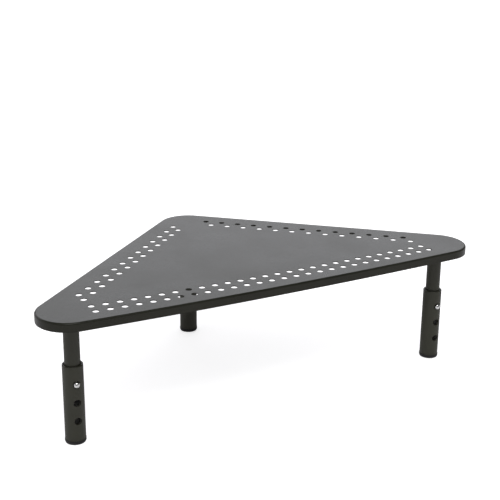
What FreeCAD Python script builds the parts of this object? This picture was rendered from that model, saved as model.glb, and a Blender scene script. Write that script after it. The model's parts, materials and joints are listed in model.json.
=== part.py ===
"""Corner monitor riser: a pressed steel tray on three telescopic legs with snap buttons.

Millimetres. X runs along the front edge, Y from the front edge to the back corner, Z up.
The origin is on the desk, under the centre of the tray's width and depth. The legs stand
at their tallest setting, with each button in the top hole of its sleeve.
"""

import math
import os

import FreeCAD
import Part
import Sketcher

# Driving sizes, each set by itself
SIZES = (
    # tray in plan: the edge runs round the three leg axes at the corner radius
    ("leg_spacing", 437.0),
    ("leg_depth", 198.4),
    ("corner_radius", 33.8),
    ("front_bow", 5.0),
    # tray in section
    ("riser_height", 139.4),
    ("sheet_thickness", 0.8),
    ("skirt_depth", 9.2),
    ("bend_radius", 2.0),
    # vent holes: two rows along every edge, in columns across the width
    ("vent_diameter", 6.7),
    ("vent_pitch", 14.65),
    ("vent_row_gap", 14.0),
    ("vent_leg_gap", 20.7),
    ("front_row_inset", 20.4),
    ("side_row_inset", 23.2),
    # threaded socket under the tray
    ("socket_height", 11.2),
    ("socket_flange_diameter", 28.0),
    ("socket_flange_thickness", 2.0),
    ("socket_boss_diameter", 9.6),
    ("stud_diameter", 6.0),
    ("stud_length", 9.0),
    ("thread_clearance", 0.1),
    ("thread_lead", 0.6),
    # upper tube and its plug
    ("tube_diameter", 15.8),
    ("tube_wall", 1.2),
    ("tube_end_reach", 11.1),
    ("plug_length", 14.0),
    # lower sleeve
    ("sleeve_gap", 1.0),
    ("sleeve_wall", 1.5),
    ("mouth_chamfer", 0.5),
    ("top_hole_drop", 18.5),
    ("setting_step", 19.6),
    ("setting_count", 3),
    # snap button and its spring
    ("button_diameter", 6.0),
    ("button_clearance", 0.7),
    ("button_proud", 2.8),
    ("button_sunk", 0.7),
    ("button_dome", 2.0),
    ("button_lip", 1.2),
    ("button_lip_thickness", 0.8),
    ("button_seat_clearance", 0.12),
    ("rivet_diameter", 3.0),
    ("rivet_clearance", 0.15),
    ("rivet_head_diameter", 4.8),
    ("rivet_head_height", 0.7),
    ("leaf_thickness", 0.5),
    ("leaf_width", 7.0),
    ("leaf_rise", 24.0),
    ("leaf_tail", 6.0),
    # plastic guides
    ("running_clearance", 0.09),
    ("bush_length", 8.0),
    ("bush_recess", 1.5),
    ("bush_lead", 0.3),
    ("glide_length", 7.0),
    ("glide_lip", 1.2),
    ("glide_lip_width", 1.6),
    # foot cap
    ("foot_height", 4.2),
    ("foot_overhang", 0.3),
    ("foot_round", 2.0),
    ("foot_plug_length", 8.0),
    ("foot_plug_wall", 1.8),
    ("foot_stop_clearance", 1.4),
)

# Sizes that follow from the driving ones. The motions are slide_range, up each sleeve, and
# button_travel, into each tube until the dome lies button_sunk inside the sleeve's wall.
DERIVED = (
    ("leg_x", "leg_spacing / 2"),
    ("tray_depth", "front_bow + leg_depth + 2 * corner_radius"),
    ("front_leg_y", "front_bow + corner_radius - tray_depth / 2"),
    ("back_leg_y", "front_leg_y + leg_depth"),
    ("front_radius", "(leg_x ^ 2 + front_bow ^ 2) / (2 * front_bow) + corner_radius"),
    ("front_centre_y", "front_radius - tray_depth / 2"),
    ("side_angle", "atan(leg_depth / leg_x) / 1deg"),
    ("vent_reach", "leg_x - vent_leg_gap"),
    ("vent_columns", "round(2 * vent_reach / vent_pitch) + 1"),
    ("vent_step", "2 * vent_reach / (vent_columns - 1)"),
    ("side_vents", "floor((leg_x - 2 * vent_leg_gap) / vent_step) + 1"),
    ("socket_top", "riser_height - sheet_thickness"),
    ("tube_top", "socket_top - socket_height"),
    ("tube_radius", "tube_diameter / 2"),
    ("tube_bore_radius", "tube_radius - tube_wall"),
    ("sleeve_bore_radius", "tube_radius + sleeve_gap"),
    ("sleeve_radius", "sleeve_bore_radius + sleeve_wall"),
    ("slide_range", "(setting_count - 1) * setting_step"),
    ("foot_plug_top", "foot_height + foot_plug_length"),
    ("glide_bottom", "foot_plug_top + slide_range + foot_stop_clearance"),
    ("tube_end", "glide_bottom + glide_lip"),
    ("button_height", "tube_end + tube_end_reach"),
    ("mouth_height", "button_height + top_hole_drop"),
    ("button_radius", "button_diameter / 2"),
    ("button_hole_diameter", "button_diameter + 2 * button_clearance"),
    ("button_tip", "sleeve_radius + button_proud"),
    ("button_travel", "button_proud + sleeve_wall + button_sunk"),
    ("lip_radius", "button_radius + button_lip"),
    ("lip_seat", "sqrt(tube_bore_radius ^ 2 - lip_radius ^ 2) - button_seat_clearance"),
    ("leaf_front", "lip_seat - button_lip_thickness"),
    ("leaf_back", "sqrt(tube_bore_radius ^ 2 - leaf_width ^ 2 / 4) - button_seat_clearance"),
    ("leaf_bend_radius", "(leaf_front + leaf_back) / 2"),
)

# Leg name: its axis in the sheet's names, and the turn that points its holes outward
LEGS = {
    "left": ("-sizes.leg_x", "sizes.front_leg_y", 0),
    "right": ("sizes.leg_x", "sizes.front_leg_y", 0),
    "back": ("0", "sizes.back_leg_y", 180),
}

FULL_TURN = 360
TINY = 1e-9
FEATURE_FAULTS = ("Invalid", "Error")

doc = FreeCAD.newDocument("corner_monitor_riser")
sheet = doc.addObject("Spreadsheet::Sheet", "sizes")


def fill_sheet():
    rows = [(name, str(number)) for name, number in SIZES]
    rows += [(name, "=" + formula) for name, formula in DERIVED]
    for row, (name, content) in enumerate(rows, start=1):
        sheet.set(f"A{row}", name)
        sheet.set(f"B{row}", content)
        sheet.setAlias(f"B{row}", name)
    doc.recompute()


def value(formula):
    found = sheet.evalExpression(formula.replace("sizes.", ""))
    return float(getattr(found, "Value", found))


def bind(thing, **formulas):
    """Tie properties of a feature to the sheet; a double underscore stands for a dot."""
    for name, formula in formulas.items():
        thing.setExpression(name.replace("__", "."), formula)


# Sketch helpers


def sketch_on(body, role, name, **offset):
    """A sketch on one of the body's own planes, moved by AttachmentOffset formulas."""
    sketch = body.newObject("Sketcher::SketchObject", f"{body.Name}_{name}")
    plane = [p for p in body.Origin.OriginFeatures if p.Role == role][0]
    sketch.AttachmentSupport = (plane, [""])
    sketch.MapMode = "FlatFace"
    bind(sketch, **{f"AttachmentOffset__{key}": formula for key, formula in offset.items()})
    return sketch


def pin(sketch, geometry, point, across, up):
    """Hold one point of a sketch at two formulas measured from its origin."""
    for kind, axis, formula in (("DistanceX", -2, across), ("DistanceY", -1, up)):
        number = value(formula)
        if abs(number) < TINY:
            sketch.addConstraint(Sketcher.Constraint("PointOnObject", geometry, point, axis))
            continue
        ends = (-1, 1, geometry, point) if number > 0 else (geometry, point, -1, 1)
        made = sketch.addConstraint(Sketcher.Constraint(kind, *ends, abs(number)))
        sketch.setExpression(f"Constraints[{made}]", formula if number > 0 else f"-({formula})")


def dimension(sketch, kind, geometry, formula):
    made = sketch.addConstraint(Sketcher.Constraint(kind, geometry, value(formula)))
    sketch.setExpression(f"Constraints[{made}]", formula)


def circle(sketch, across, up, diameter):
    centre = FreeCAD.Vector(value(across), value(up), 0)
    shape = Part.Circle(centre, FreeCAD.Vector(0, 0, 1), value(diameter) / 2)
    made = sketch.addGeometry(shape, False)
    pin(sketch, made, 3, across, up)
    dimension(sketch, "Diameter", made, diameter)
    return made


def join(sketch, *ends):
    sketch.addConstraint(Sketcher.Constraint("Coincident", *ends))


def chain(sketch, corners):
    """Straight runs from corner to corner, each given as a pair of formulas."""
    spots = [FreeCAD.Vector(value(across), value(up), 0) for across, up in corners]
    lines = [Part.LineSegment(here, there) for here, there in zip(spots, spots[1:])]
    runs = [sketch.addGeometry(line, False) for line in lines]
    for run, following in zip(runs, runs[1:]):
        join(sketch, run, 2, following, 1)
    for run, (across, up) in zip(runs, corners):
        pin(sketch, run, 1, across, up)
    return runs


def polygon(sketch, corners):
    """A closed outline of straight runs."""
    runs = chain(sketch, corners + corners[:1])
    join(sketch, runs[-1], 2, runs[0], 1)


# Feature helpers


def new_body(name):
    body = doc.addObject("PartDesign::Body", name)
    body.Label = name
    return body


def feature(body, kind, name, **settings):
    made = body.newObject(f"PartDesign::{kind}", f"{body.Name}_{name}")
    for key, setting in settings.items():
        setattr(made, key, setting)
    body.Tip = made
    return made


def pad(body, sketch, length, **settings):
    made = feature(body, "Pad", "pad", Profile=sketch, **settings)
    bind(made, Length=length)
    return made


def revolve(body, sketch, axis):
    return feature(body, "Revolution", "turned", Profile=sketch,
                   ReferenceAxis=(sketch, [axis]), Angle=FULL_TURN)


def cut_through(body, sketch, name, reverse=False):
    """Cut a sketch through the body on one side of its plane, and prove that it cut."""
    doc.recompute()
    before = body.Shape.Volume
    made = feature(body, "Pocket", name, Profile=sketch, Type="ThroughAll", Reversed=reverse)
    doc.recompute()
    if not made.Shape.Volume < before:
        raise RuntimeError(f"{made.Name} cut nothing")
    return made


def soften(body, kind, name, formula, wanted):
    """Fillet or chamfer the edges of the body's tip that pass a test."""
    doc.recompute()
    base = body.Tip
    edges = [f"Edge{n}" for n, edge in enumerate(base.Shape.Edges, start=1) if wanted(edge)]
    if not edges:
        raise RuntimeError(f"{body.Name} has no edge for {name}")
    made = feature(body, kind, name, Base=(base, edges))
    bind(made, **{"Radius" if kind == "Fillet" else "Size": formula})
    return made


def flat_at(edge, height):
    """Whether an edge lies level at a height."""
    box = edge.BoundBox
    level = value(height)
    return abs(box.ZMin - level) < 1e-4 and abs(box.ZMax - level) < 1e-4


def ring_at(edge, radius, height):
    """Whether an edge is the circle of a radius round the Z axis at a height."""
    return flat_at(edge, height) and abs(edge.BoundBox.XMax - value(radius)) < 1e-4


def on_leg(name, leg):
    """A body in a leg's own frame: Z up its axis from the desk, holes towards -Y."""
    body = new_body(f"{name}_{leg}")
    across, along, turn = LEGS[leg]
    body.Placement = FreeCAD.Placement(
        FreeCAD.Vector(value(across), value(along), 0),
        FreeCAD.Rotation(FreeCAD.Vector(0, 0, 1), turn),
    )
    bind(body, Placement__Base__x=across, Placement__Base__y=along)
    return body


def turned_profile(name, leg, corners):
    """A round piece from its half section: pairs of radius and height."""
    body = on_leg(name, leg)
    sketch = sketch_on(body, "XZ_Plane", "section")
    polygon(sketch, corners)
    revolve(body, sketch, "V_Axis")
    return body


# Tray


def tray_outline(body, name, inward, **offset):
    """The tray's edge moved inward: three corner arcs, two straight sides and a bowed front."""
    sketch = sketch_on(body, "XY_Plane", name, **offset)
    corner = f"sizes.corner_radius - {inward}"
    bow = f"sizes.front_radius - {inward}"
    slope = math.radians(value("sizes.side_angle"))
    lean = math.asin(value("sizes.leg_x / (sizes.front_radius - sizes.corner_radius)"))
    quarter = math.pi / 2
    # name: centre across, centre along, radius, start and end of the arc
    arcs = {
        "left": ("-sizes.leg_x", "sizes.front_leg_y", corner, quarter + slope, 3 * quarter - lean),
        "back": ("0", "sizes.back_leg_y", corner, quarter - slope, quarter + slope),
        "right": ("sizes.leg_x", "sizes.front_leg_y", corner, lean - quarter, quarter - slope),
        "front": ("0", "sizes.front_centre_y", bow, 3 * quarter - lean, 3 * quarter + lean),
    }
    made = {}
    for key, (across, along, radius, start, end) in arcs.items():
        centre = FreeCAD.Vector(value(across), value(along), 0)
        round_edge = Part.Circle(centre, FreeCAD.Vector(0, 0, 1), value(radius))
        made[key] = sketch.addGeometry(Part.ArcOfCircle(round_edge, start, end), False)
        dimension(sketch, "Radius", made[key], radius)
        if key != "front":
            pin(sketch, made[key], 3, across, along)
    drawn = {key: sketch.Geometry[number] for key, number in made.items()}
    sides = {
        "left_side": (drawn["left"].StartPoint, drawn["back"].EndPoint),
        "right_side": (drawn["back"].StartPoint, drawn["right"].EndPoint),
    }
    for key, ends in sides.items():
        made[key] = sketch.addGeometry(Part.LineSegment(*ends), False)
    joins = (
        ("left", 1, "left_side", 1),
        ("left_side", 2, "back", 2),
        ("back", 1, "right_side", 1),
        ("right_side", 2, "right", 2),
        ("right", 1, "front", 2),
        ("front", 1, "left", 2),
    )
    for first, point, second, other in joins:
        ends = (made[first], point, made[second], other)
        sketch.addConstraint(Sketcher.Constraint("Tangent", *ends))
    return sketch


def front_vents(body):
    """Two rows of holes that follow the bowed front edge, turned about its centre."""
    sketch = sketch_on(body, "XY_Plane", "front_vents", Base__y="sizes.front_centre_y")
    outer = "(sizes.front_radius - sizes.front_row_inset)"
    inner = f"({outer} - sizes.vent_row_gap)"
    share = f"(sizes.vent_reach / {outer})"
    for radius in (outer, inner):
        across = f"-{radius} * {share}"
        along = f"-{radius} * sqrt(1 - {share} ^ 2)"
        circle(sketch, across, along, "sizes.vent_diameter")
    seed = cut_through(body, sketch, "front_vents_cut")
    rows = feature(body, "PolarPattern", "front_rows", Originals=[seed], Axis=(sketch, ["N_Axis"]))
    bind(rows, Angle=f"2 * asin({share})", Occurrences="sizes.vent_columns")


def side_vents(body, side, across, turn, outward):
    """Two rows of holes along one straight side, in the same columns as the front rows."""
    sketch = sketch_on(body, "XY_Plane", f"{side}_vents", Base__x=across,
                       Base__y="sizes.front_leg_y", Rotation__Angle=turn)
    from_axis = "(sizes.corner_radius - sizes.side_row_inset)"
    slope = "(sizes.side_angle * 1deg)"
    start = f"(sizes.vent_leg_gap + {from_axis} * sin{slope}) / cos{slope}"
    gap = "sizes.vent_row_gap"
    circle(sketch, start, f"{outward} * {from_axis}", "sizes.vent_diameter")
    circle(sketch, f"{start} - {gap} * sin{slope}",
           f"{outward} * ({from_axis} - {gap} * cos{slope})", "sizes.vent_diameter")
    seed = cut_through(body, sketch, f"{side}_vents_cut")
    rows = feature(body, "LinearPattern", f"{side}_rows", Originals=[seed],
                   Direction=(sketch, ["H_Axis"]))
    bind(rows, Length=f"(sizes.side_vents - 1) * sizes.vent_step / cos{slope}",
         Occurrences="sizes.side_vents")


def make_tray():
    """A sheet pressed into a shallow pan, open below, with vent rows inside its edge."""
    body = new_body("tray")
    bind(body, Placement__Base__z="sizes.riser_height")
    pad(body, tray_outline(body, "edge", "0"), "sizes.skirt_depth", Reversed=True)
    soften(body, "Fillet", "bend", "sizes.bend_radius", lambda edge: flat_at(edge, "0"))
    under = "-sizes.sheet_thickness"
    cut_through(body, tray_outline(body, "pan", "sizes.sheet_thickness", Base__z=under), "pan_cut")
    front_vents(body)
    side_vents(body, "left", "-sizes.leg_x", "sizes.side_angle", 1)
    side_vents(body, "right", "sizes.leg_x", "180 - sizes.side_angle", -1)


# Upper leg


def make_leg_socket(leg):
    """A round flange welded under the tray, with a boss threaded for the leg's stud."""
    bore = "(sizes.stud_diameter / 2 + sizes.thread_clearance)"
    boss = "sizes.socket_boss_diameter / 2"
    flange = "sizes.socket_flange_diameter / 2"
    step = "sizes.socket_top - sizes.socket_flange_thickness"
    body = turned_profile("leg_socket", leg, [
        (bore, "sizes.tube_top"),
        (boss, "sizes.tube_top"),
        (boss, step),
        (flange, step),
        (flange, "sizes.socket_top"),
        (bore, "sizes.socket_top"),
    ])
    soften(body, "Chamfer", "thread_lead", "sizes.thread_lead",
           lambda edge: ring_at(edge, bore, "sizes.tube_top"))


def make_tube_plug(leg):
    """A steel plug in the top of the tube, with the stud that screws into the socket."""
    stud = "sizes.stud_diameter / 2"
    stud_tip = "sizes.tube_top + sizes.stud_length"
    bottom = "sizes.tube_top - sizes.plug_length"
    body = turned_profile("tube_plug", leg, [
        ("0", bottom),
        ("sizes.tube_bore_radius", bottom),
        ("sizes.tube_bore_radius", "sizes.tube_top"),
        (stud, "sizes.tube_top"),
        (stud, stud_tip),
        ("0", stud_tip),
    ])
    soften(body, "Chamfer", "stud_lead", "sizes.thread_lead",
           lambda edge: ring_at(edge, stud, stud_tip))


def front_hole(body, name, up, diameter):
    """A hole through the -Y wall of a tube; returns its sketch and its cut."""
    sketch = sketch_on(body, "XZ_Plane", name)
    circle(sketch, "0", up, diameter)
    return sketch, cut_through(body, sketch, f"{name}_cut", reverse=True)


def ring_pad(body, outer, inner, bottom, length):
    """A plain tube between two radii, standing on a height."""
    sketch = sketch_on(body, "XY_Plane", "ring", Base__z=bottom)
    for radius in (outer, inner):
        circle(sketch, "0", "0", f"2 * ({radius})")
    pad(body, sketch, length)


def make_upper_tube(leg):
    """The thin tube under the tray, with one hole near its lower end for the button."""
    body = on_leg("upper_tube", leg)
    ring_pad(body, "sizes.tube_radius", "sizes.tube_bore_radius", "sizes.tube_end",
             "sizes.tube_top - sizes.tube_end")
    front_hole(body, "button_hole", "sizes.button_height", "sizes.button_hole_diameter")


def make_tube_end_glide(leg):
    """A plastic ring on the tube's lower end, which runs in the sleeve."""
    outer = "sizes.sleeve_bore_radius - sizes.running_clearance"
    lip = "sizes.tube_radius - sizes.glide_lip_width"
    top = "sizes.glide_bottom + sizes.glide_length"
    turned_profile("tube_end_glide", leg, [
        (lip, "sizes.glide_bottom"),
        (outer, "sizes.glide_bottom"),
        (outer, top),
        ("sizes.tube_radius", top),
        ("sizes.tube_radius", "sizes.tube_end"),
        (lip, "sizes.tube_end"),
    ])


# Snap button


def strip_line(sketch, radius, middle, top, tail):
    """One face of the bent strip: a front leaf, a half circle above and a back leaf."""
    centre = FreeCAD.Vector(value(middle), value(top), 0)
    circle_shape = Part.Circle(centre, FreeCAD.Vector(0, 0, 1), value(radius))
    arc = sketch.addGeometry(Part.ArcOfCircle(circle_shape, 0, math.pi), False)
    pin(sketch, arc, 3, middle, top)
    dimension(sketch, "Radius", arc, radius)
    leaves = []
    for side, arc_end in ((-1, 2), (1, 1)):
        along = centre.x + side * value(radius)
        low = FreeCAD.Vector(along, value(tail), 0)
        high = FreeCAD.Vector(along, centre.y, 0)
        leaf = sketch.addGeometry(Part.LineSegment(low, high), False)
        sketch.addConstraint(Sketcher.Constraint("Tangent", leaf, 2, arc, arc_end))
        sketch.addConstraint(Sketcher.Constraint("Vertical", leaf))
        leaves.append(leaf)
    return leaves


def make_snap_spring(leg):
    """A U of spring strip inside the tube: one leaf behind the button, one on the far wall."""
    body = on_leg("snap_spring", leg)
    sketch = sketch_on(body, "YZ_Plane", "strip")
    top = "sizes.button_height + sizes.leaf_rise"
    tail = "sizes.button_height - sizes.leaf_tail"
    middle = "(sizes.leaf_back - sizes.leaf_front) / 2"
    outside = strip_line(sketch, "sizes.leaf_bend_radius", middle, top, tail)
    inside_radius = "sizes.leaf_bend_radius - sizes.leaf_thickness"
    inside = strip_line(sketch, inside_radius, middle, top, tail)
    for outer, inner in zip(outside, inside):
        ends = [sketch.Geometry[leaf].StartPoint for leaf in (outer, inner)]
        cap = sketch.addGeometry(Part.LineSegment(*ends), False)
        join(sketch, cap, 1, outer, 1)
        join(sketch, cap, 2, inner, 1)
        sketch.addConstraint(Sketcher.Constraint("Horizontal", cap))
        height = Sketcher.Constraint("DistanceY", -1, 1, outer, 1, value(tail))
        made = sketch.addConstraint(height)
        sketch.setExpression(f"Constraints[{made}]", tail)
    pad(body, sketch, "sizes.leaf_width", Midplane=True)
    hole = "sizes.rivet_diameter + 2 * sizes.rivet_clearance"
    front_hole(body, "rivet_hole", "sizes.button_height", hole)


def make_snap_button(leg):
    """A domed stud riveted through the front leaf; its lip stops it inside the tube wall."""
    body = on_leg("snap_button", leg)
    sketch = sketch_on(body, "YZ_Plane", "section", Base__y="sizes.button_height")
    shoulder = "-(sizes.button_tip - sizes.button_dome)"
    lip_front = "-sizes.lip_seat"
    leaf = "-sizes.leaf_front"
    leaf_inside = f"{leaf} + sizes.leaf_thickness"
    end = f"{leaf_inside} + sizes.rivet_head_height"
    corners = [
        (shoulder, "sizes.button_radius"),
        (lip_front, "sizes.button_radius"),
        (lip_front, "sizes.lip_radius"),
        (leaf, "sizes.lip_radius"),
        (leaf, "sizes.rivet_diameter / 2"),
        (leaf_inside, "sizes.rivet_diameter / 2"),
        (leaf_inside, "sizes.rivet_head_diameter / 2"),
        (end, "sizes.rivet_head_diameter / 2"),
        (end, "0"),
        ("-sizes.button_tip", "0"),
    ]
    runs = chain(sketch, corners)
    pin(sketch, runs[-1], 2, *corners[-1])
    # the dome is an arc about a centre on the button's axis
    dome_radius = value("(sizes.button_radius ^ 2 + sizes.button_dome ^ 2) / (2 * sizes.button_dome)")
    centre = FreeCAD.Vector(value("-sizes.button_tip") + dome_radius, 0, 0)
    shoulder_angle = math.pi - math.asin(value("sizes.button_radius") / dome_radius)
    ball = Part.Circle(centre, FreeCAD.Vector(0, 0, 1), dome_radius)
    dome = sketch.addGeometry(Part.ArcOfCircle(ball, shoulder_angle, math.pi), False)
    join(sketch, dome, 1, runs[0], 1)
    join(sketch, dome, 2, runs[-1], 2)
    sketch.addConstraint(Sketcher.Constraint("PointOnObject", dome, 3, -1))
    revolve(body, sketch, "H_Axis")


# Lower leg


def make_leg_sleeve(leg):
    """The outer tube that slides on the upper tube, with one hole for each height setting."""
    body = on_leg("leg_sleeve", leg)
    ring_pad(body, "sizes.sleeve_radius", "sizes.sleeve_bore_radius", "sizes.foot_height",
             "sizes.mouth_height - sizes.foot_height")
    soften(body, "Chamfer", "mouth", "sizes.mouth_chamfer",
           lambda edge: ring_at(edge, "sizes.sleeve_radius", "sizes.mouth_height"))
    sketch, top_hole = front_hole(body, "setting_hole", "sizes.button_height",
                                  "sizes.button_hole_diameter")
    holes = feature(body, "LinearPattern", "settings", Originals=[top_hole],
                    Direction=(sketch, ["V_Axis"]), Reversed=True)
    bind(holes, Length="sizes.slide_range", Occurrences="sizes.setting_count")


def make_mouth_bush(leg):
    """A plastic ring pressed into the sleeve's mouth, a little below its rim."""
    bore = "sizes.tube_radius + sizes.running_clearance"
    top = "sizes.mouth_height - sizes.bush_recess"
    bottom = f"{top} - sizes.bush_length"
    body = turned_profile("mouth_bush", leg, [
        (bore, bottom),
        ("sizes.sleeve_bore_radius", bottom),
        ("sizes.sleeve_bore_radius", top),
        (bore, top),
    ])
    soften(body, "Chamfer", "lead", "sizes.bush_lead", lambda edge: ring_at(edge, bore, top))


def make_foot_cap(leg):
    """A moulded cap: a disc with an eased sole under the sleeve, and a hollow plug in it."""
    rim = "(sizes.sleeve_radius + sizes.foot_overhang)"
    plug = "sizes.sleeve_bore_radius"
    hollow = f"({plug} - sizes.foot_plug_wall)"
    # the sole's round is eased in two flats that meet halfway round it
    eased = "sizes.foot_round * (1 - cos(45deg))"
    turned_profile("foot_cap", leg, [
        ("0", "0"),
        (f"{rim} - sizes.foot_round", "0"),
        (f"{rim} - {eased}", eased),
        (rim, "sizes.foot_round"),
        (rim, "sizes.foot_height"),
        (plug, "sizes.foot_height"),
        (plug, "sizes.foot_plug_top"),
        (hollow, "sizes.foot_plug_top"),
        (hollow, "sizes.foot_height"),
        ("0", "sizes.foot_height"),
    ])


def check_and_export():
    faults = [thing.Name for thing in doc.Objects if set(thing.State) & set(FEATURE_FAULTS)]
    if faults:
        raise RuntimeError(f"failed features: {faults}")
    bodies = [thing for thing in doc.Objects if thing.isDerivedFrom("PartDesign::Body")]
    for body in bodies:
        if body.Shape.isNull() or not body.Shape.isValid() or not body.Shape.Solids:
            raise RuntimeError(f"bad shape: {body.Label}")
    os.makedirs("parts", exist_ok=True)
    for body in bodies:
        body.Shape.exportStep(f"parts/{body.Label}.step")


MAKERS = (
    make_leg_socket,
    make_tube_plug,
    make_upper_tube,
    make_tube_end_glide,
    make_snap_spring,
    make_snap_button,
    make_leg_sleeve,
    make_mouth_bush,
    make_foot_cap,
)

fill_sheet()
make_tray()
for leg_name in LEGS:
    for make in MAKERS:
        make(leg_name)
doc.recompute()
check_and_export()
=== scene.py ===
"""Looks of the corner monitor riser: powder-coated steel, nickel buttons and plastic feet."""

import json
import math

import bpy
from mathutils import Matrix, Vector


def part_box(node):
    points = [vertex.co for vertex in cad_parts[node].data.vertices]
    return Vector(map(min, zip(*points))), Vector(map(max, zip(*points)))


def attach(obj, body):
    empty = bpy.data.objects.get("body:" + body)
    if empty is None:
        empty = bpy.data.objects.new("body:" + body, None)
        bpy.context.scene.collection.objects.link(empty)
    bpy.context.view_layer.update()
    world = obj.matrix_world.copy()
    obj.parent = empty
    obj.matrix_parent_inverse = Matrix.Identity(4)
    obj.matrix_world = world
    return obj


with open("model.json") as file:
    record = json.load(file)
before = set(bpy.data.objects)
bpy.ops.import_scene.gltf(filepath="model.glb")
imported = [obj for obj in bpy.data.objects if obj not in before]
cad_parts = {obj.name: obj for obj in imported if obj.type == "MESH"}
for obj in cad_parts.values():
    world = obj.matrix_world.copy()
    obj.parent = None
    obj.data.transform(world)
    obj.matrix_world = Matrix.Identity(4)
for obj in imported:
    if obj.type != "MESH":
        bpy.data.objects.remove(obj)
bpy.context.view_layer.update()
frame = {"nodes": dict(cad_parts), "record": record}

scene = bpy.context.scene
scene.view_settings.view_transform = "Standard"


# Node helpers. A noise's scale is per metre; bump heights and easing radii are in metres.


NOISE_ROUGHNESS = 0.55
NOISE_SPAN = (0.3, 0.7)
BUMP_STRENGTH = 1.0
EASING_SAMPLES = 6


class Shader:
    """The node tree of a material or world, with short calls for adding and joining nodes."""

    def __init__(self, holder, space="Object"):
        self.holder = holder
        holder.use_nodes = True
        self.tree = holder.node_tree
        self.tree.nodes.clear()
        self.place = self.add("ShaderNodeTexCoord").outputs[space]

    def add(self, kind, **settings):
        node = self.tree.nodes.new(kind)
        for key, setting in settings.items():
            setattr(node, key, setting)
        return node

    def put(self, value, socket):
        """Link an output, or write a constant, into a socket."""
        if isinstance(value, bpy.types.NodeSocket):
            self.tree.links.new(value, socket)
        else:
            socket.default_value = value

    def noise(self, scale, detail=3.0, stretch=None):
        """A soft noise, drawn out along each axis whose stretch is below one."""
        node = self.add("ShaderNodeTexNoise")
        node.inputs["Scale"].default_value = scale
        node.inputs["Detail"].default_value = detail
        node.inputs["Roughness"].default_value = NOISE_ROUGHNESS
        place = self.place
        if stretch:
            mapping = self.add("ShaderNodeMapping")
            mapping.inputs["Scale"].default_value = stretch
            self.put(self.place, mapping.inputs["Vector"])
            place = mapping.outputs["Vector"]
        self.put(place, node.inputs["Vector"])
        return node.outputs["Fac"]

    def spread(self, value, low, high, span=NOISE_SPAN):
        """Map a value from a span, by default that of a noise, to low..high."""
        node = self.add("ShaderNodeMapRange")
        for key, number in (("From Min", span[0]), ("From Max", span[1]), ("To Min", low), ("To Max", high)):
            node.inputs[key].default_value = number
        self.put(value, node.inputs["Value"])
        return node.outputs["Result"]

    def blend(self, share, first, second):
        """A colour between two, by a share."""
        node = self.add("ShaderNodeMix", data_type="RGBA")
        self.put(share, node.inputs["Factor"])
        self.put(first, node.inputs["A"])
        self.put(second, node.inputs["B"])
        return node.outputs["Result"]

    def maths(self, operation, first, second):
        node = self.add("ShaderNodeMath", operation=operation)
        self.put(first, node.inputs[0])
        self.put(second, node.inputs[1])
        return node.outputs["Value"]

    def bump(self, height, distance, under):
        """Normals of a height on top of the normals under it."""
        node = self.add("ShaderNodeBump")
        node.inputs["Distance"].default_value = distance
        node.inputs["Strength"].default_value = BUMP_STRENGTH
        self.put(height, node.inputs["Height"])
        self.put(under, node.inputs["Normal"])
        return node.outputs["Normal"]

    def eased(self, radius):
        """Normals that turn smoothly over sharp edges, as a coating or a mould rounds them."""
        node = self.add("ShaderNodeBevel", samples=EASING_SAMPLES)
        node.inputs["Radius"].default_value = radius
        return node.outputs["Normal"]

    def rays(self):
        """Two switches: on for rays from the camera, and for rays that mirror or pass through."""
        path = self.add("ShaderNodeLightPath")
        mirrored = self.maths("MAXIMUM", path.outputs["Is Glossy Ray"], path.outputs["Is Transmission Ray"])
        return path.outputs["Is Camera Ray"], mirrored

    def finish(self, colour, roughness, normal, **constants):
        """Close a material with one surface, whose other constants are given by name."""
        surface = self.add("ShaderNodeBsdfPrincipled")
        self.put(colour, surface.inputs["Base Color"])
        self.put(roughness, surface.inputs["Roughness"])
        self.put(normal, surface.inputs["Normal"])
        for key, number in constants.items():
            surface.inputs[key].default_value = number
        output = self.add("ShaderNodeOutputMaterial")
        self.put(surface.outputs["BSDF"], output.inputs["Surface"])
        return self.holder


def grey(level, warmth=0.0):
    """A grey, or one whose blue falls by the warmth and rises where that is below zero."""
    return (level, level, level * (1 - warmth), 1.0)


# Powder coat


PEBBLE_SCALE, PEBBLE_HEIGHT = 1500.0, 0.0001
WAVE_SCALE, WAVE_HEIGHT = 160.0, 0.00006
PATCH_SCALE = 14.0
COAT_WARMTH = 0.36
COAT_DARKEST, COAT_PALEST = 0.88, 1.12
COAT_DRIFT = 0.03
COAT_EASING = 0.0005
COAT_IOR = 1.43
BARE_STEEL = (grey(0.34, 0.04), grey(0.46, 0.06))


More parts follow.
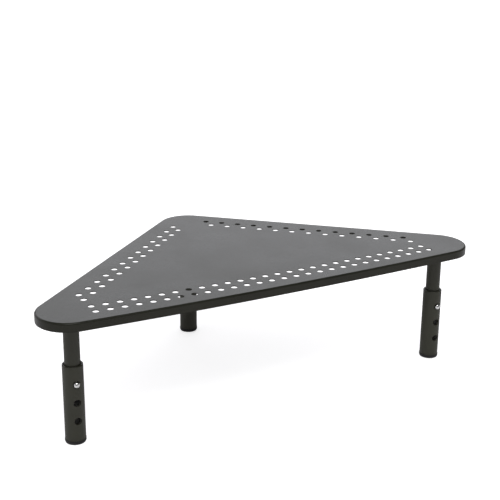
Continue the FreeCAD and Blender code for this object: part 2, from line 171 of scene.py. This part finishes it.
def powder_coat(name, level, roughness, ior=COAT_IOR, bore=None):
    """Baked powder: a fine pebbled skin over slow waves, with faint uneven gloss. A bore, given
    as its axis across and along and its radius, shows the bare steel of the tube inside."""
    s = Shader(bpy.data.materials.new(name))
    pebbles = s.noise(PEBBLE_SCALE, detail=2.0)
    waves = s.noise(WAVE_SCALE, detail=1.0)
    patches = s.noise(PATCH_SCALE)
    colour = s.blend(s.spread(patches, 0.0, 1.0), grey(level * COAT_DARKEST, COAT_WARMTH),
                     grey(level * COAT_PALEST, COAT_WARMTH))
    rough = s.maths("ADD", s.spread(patches, roughness - COAT_DRIFT, roughness + COAT_DRIFT),
                    s.spread(pebbles, -COAT_DRIFT, COAT_DRIFT))
    normal = s.bump(pebbles, PEBBLE_HEIGHT, under=s.bump(waves, WAVE_HEIGHT, under=s.eased(COAT_EASING)))
    if bore:
        across, along, radius = bore
        flattened = s.add("ShaderNodeVectorMath", operation="MULTIPLY")
        s.put(s.place, flattened.inputs[0])
        flattened.inputs[1].default_value = (1.0, 1.0, 0.0)
        reach = s.add("ShaderNodeVectorMath", operation="DISTANCE")
        s.put(flattened.outputs["Vector"], reach.inputs[0])
        reach.inputs[1].default_value = (across, along, 0.0)
        inside = s.maths("LESS_THAN", reach.outputs["Value"], radius)
        colour = s.blend(inside, colour, s.blend(s.spread(patches, 0.0, 1.0), *BARE_STEEL))
    return s.finish(colour, rough, normal, IOR=ior)


# Nickel plating


RING_SCALE, RING_HEIGHT, RING_STRETCH = 900.0, 0.00001, (1.0, 0.05, 1.0)
HAZE_SCALE = 300.0
HAZE_COLOURS = (grey(0.78, 0.01), grey(0.88, 0.015))
HAZE_ROUGHNESS = (0.12, 0.24)
NICKEL_EASING = 0.0004


def nickel(name):
    """Polished plating with faint turning rings and a few hazy spots."""
    s = Shader(bpy.data.materials.new(name))
    rings = s.noise(RING_SCALE, detail=2.0, stretch=RING_STRETCH)
    haze = s.noise(HAZE_SCALE, detail=2.0)
    colour = s.blend(s.spread(haze, 0.0, 1.0), *HAZE_COLOURS)
    rough = s.spread(haze, *HAZE_ROUGHNESS)
    normal = s.bump(rings, RING_HEIGHT, under=s.eased(NICKEL_EASING))
    return s.finish(colour, rough, normal, Metallic=1.0)


# Zinc plating and blued strip


STREAK_SCALE, STREAK_HEIGHT, STREAK_STRETCH = 700.0, 0.00001, (1.0, 1.0, 0.06)
STREAK_DRIFT = 0.04
CLOUD_SCALE = 120.0
CLOUD_DARKEST = 0.8
CLOUD_DRIFT = 0.06
PLATED_EASING = 0.0002


def plated(name, level, warmth, roughness):
    """Zinc plating or blued strip: rolled streaks along the piece and cloudy patches."""
    s = Shader(bpy.data.materials.new(name))
    streaks = s.noise(STREAK_SCALE, stretch=STREAK_STRETCH)
    clouds = s.noise(CLOUD_SCALE)
    rough = s.maths("ADD", s.spread(clouds, roughness - CLOUD_DRIFT, roughness + CLOUD_DRIFT),
                    s.spread(streaks, -STREAK_DRIFT, STREAK_DRIFT))
    colour = s.blend(s.spread(clouds, 0.0, 1.0), grey(level * CLOUD_DARKEST, warmth), grey(level, warmth))
    normal = s.bump(streaks, STREAK_HEIGHT, under=s.eased(PLATED_EASING))
    return s.finish(colour, rough, normal, Metallic=1.0)


# Moulded plastic


GRAIN_SCALE, GRAIN_HEIGHT = 2600.0, 0.00003
RUB_SCALE = 90.0
RUB_DARKEST, RUB_PALEST = 0.85, 1.2
RUB_SMOOTHER, RUB_ROUGHER = 0.05, 0.07
MOULD_EASING = 0.0004
PLASTIC_IOR = 1.46


def moulded(name, level, roughness):
    """Black plastic with a fine spark-eroded grain and slightly rubbed high spots."""
    s = Shader(bpy.data.materials.new(name))
    grain = s.noise(GRAIN_SCALE, detail=2.0)
    rubs = s.noise(RUB_SCALE, detail=4.0)
    colour = s.blend(s.spread(rubs, 0.0, 1.0), grey(level * RUB_DARKEST), grey(level * RUB_PALEST))
    rough = s.spread(rubs, roughness - RUB_SMOOTHER, roughness + RUB_ROUGHER)
    normal = s.bump(grain, GRAIN_HEIGHT, under=s.eased(MOULD_EASING))
    return s.finish(colour, rough, normal, IOR=PLASTIC_IOR)


# Which piece wears which material


LOOKS = {
    "powder_coat": powder_coat("powder_coat", level=0.018, roughness=0.3, ior=1.33),
    "powder_coat_plain": powder_coat("powder_coat_plain", level=0.015, roughness=0.5),
    "plated_steel": plated("plated_steel", level=0.62, warmth=0.02, roughness=0.35),
    "spring_steel": plated("spring_steel", level=0.36, warmth=-0.12, roughness=0.3),
    "button_steel": nickel("button_steel"),
    "guide_plastic": moulded("guide_plastic", level=0.01, roughness=0.5),
    "foot_plastic": moulded("foot_plastic", level=0.008, roughness=0.5),
}

# The legs' coat: the tray's black powder coat painted lighter, a painted brightening that stands in for the
# light the legs catch.
LEG_COAT_PAINTED_LIGHTER = {"level": 0.034, "roughness": 0.46}
BORE_MARGIN = 0.0001


def sleeve_coat_painted_lighter(name):
    """The legs' coat, a lighter copy of the tray's black powder coat whose extra brightness is painted
    light, with the sleeve's own bore as wide as the bush that fills its mouth.
    """
    low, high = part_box(name.replace("leg_sleeve", "mouth_bush"))
    bore = ((low[0] + high[0]) / 2, (low[1] + high[1]) / 2, (high[0] - low[0]) / 2 + BORE_MARGIN)
    return powder_coat(name, **LEG_COAT_PAINTED_LIGHTER, bore=bore)


# The tubes wear the same lighter copy of the coat, painted light as on the sleeves.
tube_coat_painted_lighter = powder_coat("powder_coat_tubes_painted_lighter", **LEG_COAT_PAINTED_LIGHTER)
slots = {row["node"]: row["material_slot"] for row in frame["record"]["subparts"]}
for name, node in frame["nodes"].items():
    node.data.materials.clear()
    if name.startswith("leg_sleeve"):
        node.data.materials.append(sleeve_coat_painted_lighter(name))
    elif name.startswith("upper_tube"):
        node.data.materials.append(tube_coat_painted_lighter)
    else:
        node.data.materials.append(LOOKS[slots[name]])


def mesh_object(name, points, faces, material):
    """A new object in the scene, of one material."""
    mesh = bpy.data.meshes.new(name)
    mesh.from_pydata(points, [], faces)
    mesh.materials.append(material)
    made = bpy.data.objects.new(name, mesh)
    scene.collection.objects.link(made)
    return made


# Welds: short rippled beads in the corner between each socket's flange and the tray


WELD_LEG = 0.0013
WELD_SINK = 0.0002
WELD_STITCHES = 3
STITCH_ANGLE = math.radians(58)
STITCH_SHIFT = 0.25
STITCH_STEPS = 60
STITCH_RIPPLES = 10
RIPPLE_SHARE = 0.1
STITCH_END = 0.07
STITCH_TIP = 0.3
SECTION_STEPS = 6


def stitch_leg(along):
    """A bead's leg at a share of its length: rippled, and rounded off at both ends."""
    swell = min(1.0, STITCH_TIP + (1 - STITCH_TIP) * math.sqrt(min(along, 1 - along) / STITCH_END))
    return WELD_LEG * swell * (1 + RIPPLE_SHARE * math.cos(math.tau * STITCH_RIPPLES * along))


def stitch_section(leg):
    """A bead's section, out from the rim and up from the flange's top: a root sunk into the
    steel, and the quarter circle that fills the corner."""
    section = [(-WELD_SINK, WELD_SINK)]
    for corner in range(SECTION_STEPS + 1):
        slope = math.pi / 2 * corner / SECTION_STEPS
        section.append((leg * math.cos(slope), -leg * math.sin(slope)))
    return section


def welds(name, socket):
    """The stitches round one socket's flange, evenly spaced, each a closed bead."""
    low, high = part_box(socket)
    centre_x, centre_y = (low[0] + high[0]) / 2, (low[1] + high[1]) / 2
    rim, top = (high[0] - low[0]) / 2, high[2]
    points, faces = [], []
    for stitch in range(WELD_STITCHES):
        first = len(points)
        for step in range(STITCH_STEPS + 1):
            along = step / STITCH_STEPS
            turn = math.tau * (stitch + STITCH_SHIFT) / WELD_STITCHES + STITCH_ANGLE * (along - 0.5)
            section = stitch_section(stitch_leg(along))
            points += [(centre_x + (rim + out) * math.cos(turn), centre_y + (rim + out) * math.sin(turn),
                        top + up) for out, up in section]
        count = len(section)
        for row in range(first, len(points) - count, count):
            for corner in range(count):
                after = (corner + 1) % count
                faces.append((row + corner, row + after, row + count + after, row + count + corner))
        faces.append(tuple(range(first + count - 1, first - 1, -1)))
        faces.append(tuple(range(len(points) - count, len(points))))
    made = mesh_object(name, points, faces, LOOKS[slots[socket]])
    for polygon in made.data.polygons:
        polygon.use_smooth = True
    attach(made, "riser")


for leg in ("left", "right", "back"):
    welds(f"socket_welds_{leg}", f"leg_socket_{leg}")


# Floor


FLOOR_GREY = 0.9
FLOOR_LIFT = 0.7
FLOOR_LIFT_MIRRORED = 0.02
FLOOR_HALF = 30.0


def white_floor():
    """A matt pale floor, lifted to white for the camera and a little in reflections."""
    s = Shader(bpy.data.materials.new("floor"))
    diffuse = s.add("ShaderNodeBsdfDiffuse")
    diffuse.inputs["Color"].default_value = grey(FLOOR_GREY)
    seen, mirrored = s.rays()
    lift = s.add("ShaderNodeEmission")
    s.put(s.maths("ADD", s.maths("MULTIPLY", seen, FLOOR_LIFT),
                  s.maths("MULTIPLY", mirrored, FLOOR_LIFT_MIRRORED)), lift.inputs["Strength"])
    both = s.add("ShaderNodeAddShader")
    s.put(diffuse.outputs["BSDF"], both.inputs[0])
    s.put(lift.outputs["Emission"], both.inputs[1])
    output = s.add("ShaderNodeOutputMaterial")
    s.put(both.outputs["Shader"], output.inputs["Surface"])
    return s.holder


corners = [(-FLOOR_HALF, -FLOOR_HALF, 0), (FLOOR_HALF, -FLOOR_HALF, 0),
           (FLOOR_HALF, FLOOR_HALF, 0), (-FLOOR_HALF, FLOOR_HALF, 0)]
mesh_object("floor", corners, [(0, 1, 2, 3)], white_floor())


# World


# Axis of the direction, where its fade starts and ends, and the sweep's share at both.
SWEEP_FADES = (
    ("Y", -0.45, 0.1, 0.1, 1.0),
    ("X", 0.72, 0.86, 1.0, 0.2),
    ("Z", 0.25, 0.42, 0.61, 1.2),
    ("Z", 0.5, 0.68, 1.0, 0.02),
)
EVEN_LIGHT = 0.45
SKY_COLOUR = (1.02, 1.0, 1.05, 1.0)


def studio_world():
    """Even light all round. The camera sees white, and reflections see a sweep that is white
    behind the object and dims in front of it, to its right, towards the horizon and overhead."""
    world = bpy.data.worlds.new("studio")
    scene.world = world
    s = Shader(world, "Generated")
    direction = s.add("ShaderNodeSeparateXYZ")
    s.put(s.place, direction.inputs["Vector"])
    sweep = 1.0
    for axis, start, end, low, high in SWEEP_FADES:
        sweep = s.maths("MULTIPLY", sweep, s.spread(direction.outputs[axis], low, high, (start, end)))
    seen, mirrored = s.rays()
    unseen = s.maths("SUBTRACT", 1.0, s.maths("MAXIMUM", seen, mirrored))
    sky = s.add("ShaderNodeBackground")
    sky.inputs["Color"].default_value = SKY_COLOUR
    s.put(s.maths("ADD", s.maths("ADD", seen, s.maths("MULTIPLY", mirrored, sweep)),
                  s.maths("MULTIPLY", unseen, EVEN_LIGHT)), sky.inputs["Strength"])
    output = s.add("ShaderNodeOutputWorld")
    s.put(sky.outputs["Background"], output.inputs["Surface"])


studio_world()


# Lamps: all of them aim at one point above the floor


LAMP_AIM = (0, 0, 0.1)
NEUTRAL = (1.0, 1.0, 1.0)
COOL = (0.93, 0.97, 1.0)


def soft_lamp(name, spot, size, watts, colour=NEUTRAL):
    """A rectangular lamp at a spot, of a width and a height."""
    lamp = bpy.data.lights.new(name, "AREA")
    lamp.color = colour
    lamp.shape = "RECTANGLE"
    lamp.size, lamp.size_y = size
    lamp.energy = watts
    made = bpy.data.objects.new(name, lamp)
    made.location = spot
    made.rotation_mode = "QUATERNION"
    made.rotation_quaternion = (Vector(LAMP_AIM) - Vector(spot)).to_track_quat("-Z", "Y")
    scene.collection.objects.link(made)


soft_lamp("key", spot=(-0.5, -1.5, 2.6), size=(1.6, 1.0), watts=32)
soft_lamp("fill", spot=(1.9, -1.5, 0.6), size=(1.4, 1.0), watts=1.5)
soft_lamp("back", spot=(1.3, 2.4, 1.4), size=(2.6, 1.5), watts=11, colour=COOL)


# Camera: placed so that the holes, the edges and the legs fall on their places in a frame
# of 500 by 500. The focal length and the middle are in pixels, the sensor's width is in
# millimetres, and the angles are in radians.


FRAME_WIDTH = 500.0
SENSOR = 36.0
FOCAL_PIXELS = 1015.75
MIDDLE = (225.85, 218.49)
EYE = (-0.50276, -0.96018, 0.50714)
YAW = 0.4816
PITCH = 0.2991
ROLL = 0.0024
NEAREST, FARTHEST = 0.05, 200.0


def photo_camera():
    """Yaw turns right from +Y, pitch looks down, and roll turns the picture."""
    data = bpy.data.cameras.new("camera")
    data.sensor_width = SENSOR
    data.lens = FOCAL_PIXELS / FRAME_WIDTH * SENSOR
    data.shift_x = (FRAME_WIDTH / 2 - MIDDLE[0]) / FRAME_WIDTH
    data.shift_y = (MIDDLE[1] - FRAME_WIDTH / 2) / FRAME_WIDTH
    data.clip_start, data.clip_end = NEAREST, FARTHEST
    camera = bpy.data.objects.new("camera", data)
    ahead = Vector((math.sin(YAW) * math.cos(PITCH), math.cos(YAW) * math.cos(PITCH), -math.sin(PITCH)))
    right = Vector((math.cos(YAW), -math.sin(YAW), 0.0))
    up = right.cross(ahead)
    level = Matrix((right, up, -ahead)).transposed()
    camera.matrix_world = Matrix.Translation(EYE) @ (level @ Matrix.Rotation(ROLL, 3, "Z")).to_4x4()
    scene.collection.objects.link(camera)
    scene.camera = camera


photo_camera()
